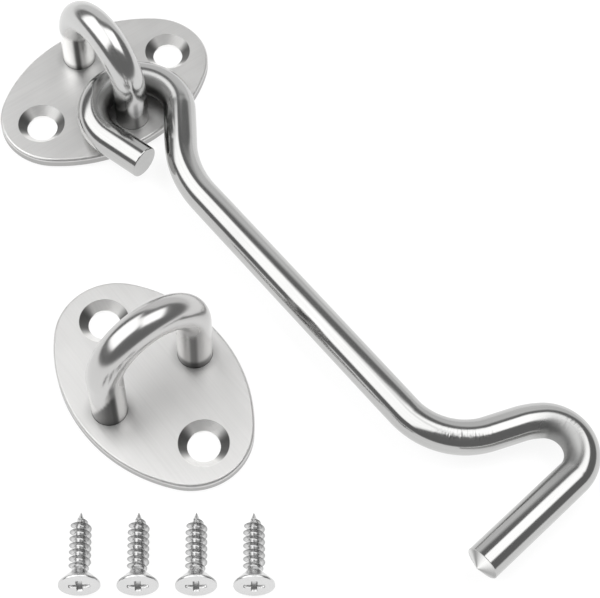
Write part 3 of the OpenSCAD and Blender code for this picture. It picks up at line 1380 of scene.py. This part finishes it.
@dataclass
class Studio:
    """White table that sweeps up at the back, and a dim room, as the steel mirrors them.

    Two small soft boxes overhead fill between two large ones. Lengths are in metres and angles in
    degrees, and the dome reaches a little below the table.
    """

    camera_azimuth: float
    middle: tuple[float, float, float] = (-0.02, -0.055, 0.0)
    dome_r: float = 1.2
    dome_low: float = -8.0
    dome_high: float = 89.0
    dome_rings: int = 110
    dome_points: int = 360
    room: float = 0.2
    sweep: float = 0.85
    sweep_peak: float = 47.0
    sweep_spread: float = 40.0
    sweep_foot: float = 1.0
    sweep_blur: float = 12.0
    boxes: tuple[SoftBox, ...] = (
        SoftBox(80, 89, half_w=0.20, half_h=0.18, roll=0, level=1.4, blur=0.16),
        SoftBox(-40, 77, half_w=0.17, half_h=0.16, roll=0, level=1.4, blur=0.16),
        SoftBox(-93, 55, half_w=0.66, half_h=0.54, roll=-24, level=1.9, blur=0.20),
        SoftBox(72, 66, half_w=0.40, half_h=0.36, roll=-7, level=2.0, blur=0.16),
    )
    lamps: tuple[Lamp, ...] = (Lamp("left_box", -98, 55), Lamp("right_box", 55, 62))
    table_w: float = 6.0
    table_z: float = -0.0004
    table_colour: float = 0.8
    table_glow: float = 0.87
    table_shade: float = 0.14
    soft_light: float = 0.55

    def table(self) -> None:
        """Lays a white table that shows as white and keeps the object's shadow."""
        bpy.ops.mesh.primitive_plane_add(size=self.table_w, location=(0, 0, self.table_z))
        table = bpy.context.object
        table.name = "table"
        mat = bpy.data.materials.new("white_table")
        bench = empty_bench(mat)
        plain, faint = (
            bench.add("ShaderNodeBsdfDiffuse", {"Color": (shade, shade, shade, 1.0)})
            for shade in (self.table_colour, self.table_shade)
        )
        lit = bench.add("ShaderNodeEmission", {"Strength": self.table_glow})
        shown = bench.add("ShaderNodeAddShader", {0: lit.outputs[0], 1: faint.outputs[0]})
        sides = {0: seen_ray(bench), 1: plain.outputs[0], 2: shown.outputs[0]}
        mix = bench.add("ShaderNodeMixShader", sides)
        bench.add("ShaderNodeOutputMaterial", {"Surface": mix.outputs[0]})
        table.data.materials.append(mat)

    def dome(self) -> None:
        """Sets a dome over the table, seen in reflections only, that glows by direction.

        The glow is the room's, then the sweep's below a bell-shaped rim about straight ahead, and
        then each soft box over that.
        """
        azimuth, elevation = np.broadcast_arrays(
            np.linspace(-180, 180, self.dome_points, endpoint=False)[None],
            np.linspace(self.dome_low, self.dome_high, self.dome_rings)[:, None],
        )
        rim = (self.sweep_peak - self.sweep_foot) * np.exp(-((azimuth / self.sweep_spread) ** 2))
        share = ramp((self.sweep_foot + rim - elevation) / self.sweep_blur)
        glow = self.room + (self.sweep - self.room) * share
        for box in self.boxes:
            glow = box.over(glow, direction(azimuth, elevation))
        way = direction(azimuth + self.camera_azimuth, elevation)
        rows = self.dome_r * way + np.array(self.middle)
        dome = grid_piece("studio_dome", rows, None, {"glow": glow})
        mat = bpy.data.materials.new("studio_glow")
        bench = empty_bench(mat)
        level = bench.add("ShaderNodeAttribute", attribute_name="glow")
        shine = bench.add("ShaderNodeEmission", {"Strength": level.outputs["Fac"]})
        bench.add("ShaderNodeOutputMaterial", {"Surface": shine.outputs[0]})
        dome.data.materials.append(mat)
        dome.visible_camera = False
        dome.visible_diffuse = False
        dome.visible_shadow = False

    def world(self) -> None:
        """Makes the surroundings white to the camera and in reflections, and soft light elsewhere."""
        world = bpy.data.worlds.new("white_room")
        bpy.context.scene.world = world
        bench = empty_bench(world)
        soft = bench.add("ShaderNodeBackground", {"Strength": self.soft_light})
        white = bench.add("ShaderNodeBackground", {"Color": (1.0, 1.0, 1.0, 1.0)})
        sides = {0: seen_ray(bench), 1: soft.outputs[0], 2: white.outputs[0]}
        mix = bench.add("ShaderNodeMixShader", sides)
        bench.add("ShaderNodeOutputWorld", {"Surface": mix.outputs[0]})

    def build(self) -> None:
        """Sets up the table, the dome, the surroundings and the lamps."""
        self.table()
        self.dome()
        self.world()
        for lamp in self.lamps:
            lamp.hang(self.camera_azimuth, self.middle)


def seen_ray(bench: NodeBench) -> bpy.types.NodeSocket:
    """Adds nodes that tell a ray which shows the surroundings from one that only lights.

    Args:
        bench: Nodes of a material or of the world.

    Returns:
        A value of 1 for camera, glossy and transmission rays.
    """
    path = bench.add("ShaderNodeLightPath").outputs
    either = bench.math("MAXIMUM", path["Is Camera Ray"], path["Is Glossy Ray"])
    return bench.math("MAXIMUM", either, path["Is Transmission Ray"])


@dataclass
class Viewpoint:
    """The photograph's point of view: where the camera stands, in mm, and how it is turned.

    Angles are in degrees, the focal length and the image's width in pixels, and the clip in metres.
    """

    place: tuple[float, float, float] = (-83.17, -150.05, 219.18)
    azimuth: float = 42.42
    elevation: float = 60.25
    roll: float = 4.64
    focal_px: float = 1438.4
    image_w: float = 600.0
    sensor_w: float = 36.0
    clip: tuple[float, float] = (0.01, 20.0)

    def build(self) -> None:
        """Makes the camera and points it, with its sensor as wide as the image."""
        data = bpy.data.cameras.new("camera")
        data.sensor_width = self.sensor_w
        data.lens = self.focal_px / self.image_w * self.sensor_w
        data.clip_start, data.clip_end = self.clip
        camera = bpy.data.objects.new("camera", data)
        ahead = Vector(direction(self.azimuth, -self.elevation).tolist())
        upright = ahead.to_track_quat("-Z", "Y").to_matrix()
        tilt = Matrix.Rotation(math.radians(self.roll), 3, "Z")
        camera.rotation_euler = (upright @ tilt).to_euler()
        camera.location = Vector(self.place) * MM
        bpy.context.scene.collection.objects.link(camera)
        bpy.context.scene.camera = camera


def main() -> None:
    """Builds the camera, the studio and every piece, in order."""
    logging.basicConfig(level=logging.INFO)
    bpy.context.scene.view_settings.view_transform = "Standard"
    view = Viewpoint()
    view.build()
    Studio(camera_azimuth=view.azimuth).build()
    for plate in (Plate("pivot_plate", sheen_angle=-42), Plate("keeper_plate", sheen_angle=48)):
        plate.dress()
        LOG.info("dressed %s", plate.node)
    staples = [
        Staple("pivot_staple", "pivot", PIVOT_ROD, PIVOT_LEG_LIGHT),
        Staple("keeper_staple", "keeper", KEEPER_ROD, KEEPER_LEG_LIGHT),
    ]
    screws = [WoodScrew(f"screw_{i}") for i in range(1, 5)]
    for part in [Hook(), *staples, *screws]:
        piece = part.build()
        part.dress(piece)
        LOG.info("built %s with %d faces", piece.name, len(piece.data.polygons))


if __name__ == "__main__":
    main()
